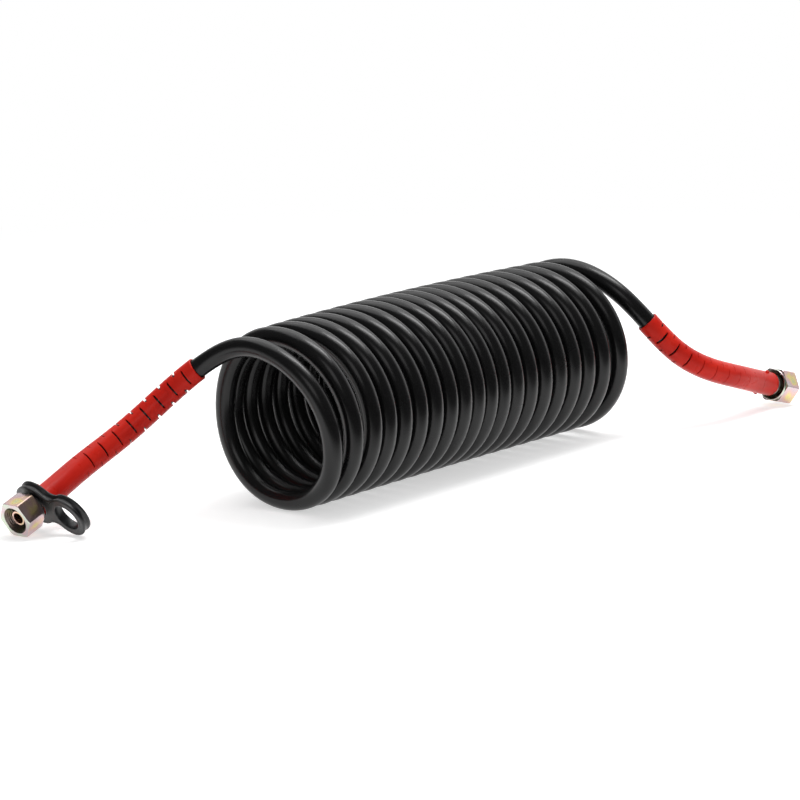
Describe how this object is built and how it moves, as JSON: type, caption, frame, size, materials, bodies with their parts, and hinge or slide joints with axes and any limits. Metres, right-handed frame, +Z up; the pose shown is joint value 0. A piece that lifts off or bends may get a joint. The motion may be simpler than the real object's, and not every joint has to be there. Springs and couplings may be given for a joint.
{
  "type": "coiled air brake hose assembly",
  "caption": "Coiled black polyamide air brake hose with red kink sleeves, yellow zinc swivel union nuts on both ends and a holding tab.",
  "frame": {"origin": "on the floor that the coil lies on, at the flat under the bottom of its middle turn, 10.5 turns on from where its winding is counted", "axes": "+X along the coil's axis from the end with the holding tab (near) to the other end (far), +Y across the floor towards the back, away from the viewer, +Z up"},
  "size_m": [0.581, 0.1909, 0.1131],
  "materials": {
    "hose_black": "semi-gloss polyamide",
    "sleeve_red": "satin moulded",
    "yellow_zinc": "yellow chromate zinc plating",
    "nipple_steel": "turned, yellow zinc plating",
    "ferrule_steel": "pressed",
    "seal_rubber": "matt",
    "tab_black": "satin moulded"
  },
  "bodies": {
    "base": {"coil": "hose_black", "near_tail": "hose_black", "near_sleeve": "sleeve_red", "near_ferrule": "ferrule_steel", "near_nipple": "nipple_steel", "near_seal": "seal_rubber"},
    "far_end": {"far_tail": "hose_black", "far_sleeve": "sleeve_red", "far_ferrule": "ferrule_steel", "far_nipple": "nipple_steel", "far_seal": "seal_rubber"},
    "near_nut": {"near_nut": "yellow_zinc"},
    "far_nut": {"far_nut": "yellow_zinc"},
    "tab": {"tab": "tab_black"}
  },
  "joints": [
    {"name": "coil_stretch", "type": "slide", "parent": "base", "child": "far_end", "axis": [1, 0, 0], "range_m": [0, 3.5], "stiffness_N_per_m": 13, "deforming": ["coil"]},
    {"name": "near_nut_swivel", "type": "hinge", "parent": "base", "child": "near_nut", "pos_m": [-0.2868, 0.0858, 0.00989], "axis": [-0.9392, 0.0443, -0.3404], "continuous": true},
    {"name": "far_nut_swivel", "type": "hinge", "parent": "far_end", "child": "far_nut", "pos_m": [0.28717, -0.0799, 0.01013], "axis": [0.9596, -0.0772, -0.2706], "continuous": true},
    {"name": "tab_swivel", "type": "hinge", "parent": "base", "child": "tab", "pos_m": [-0.26736, 0.08488, 0.01694], "axis": [-0.9392, 0.0443, -0.3404], "continuous": true}
  ]
}
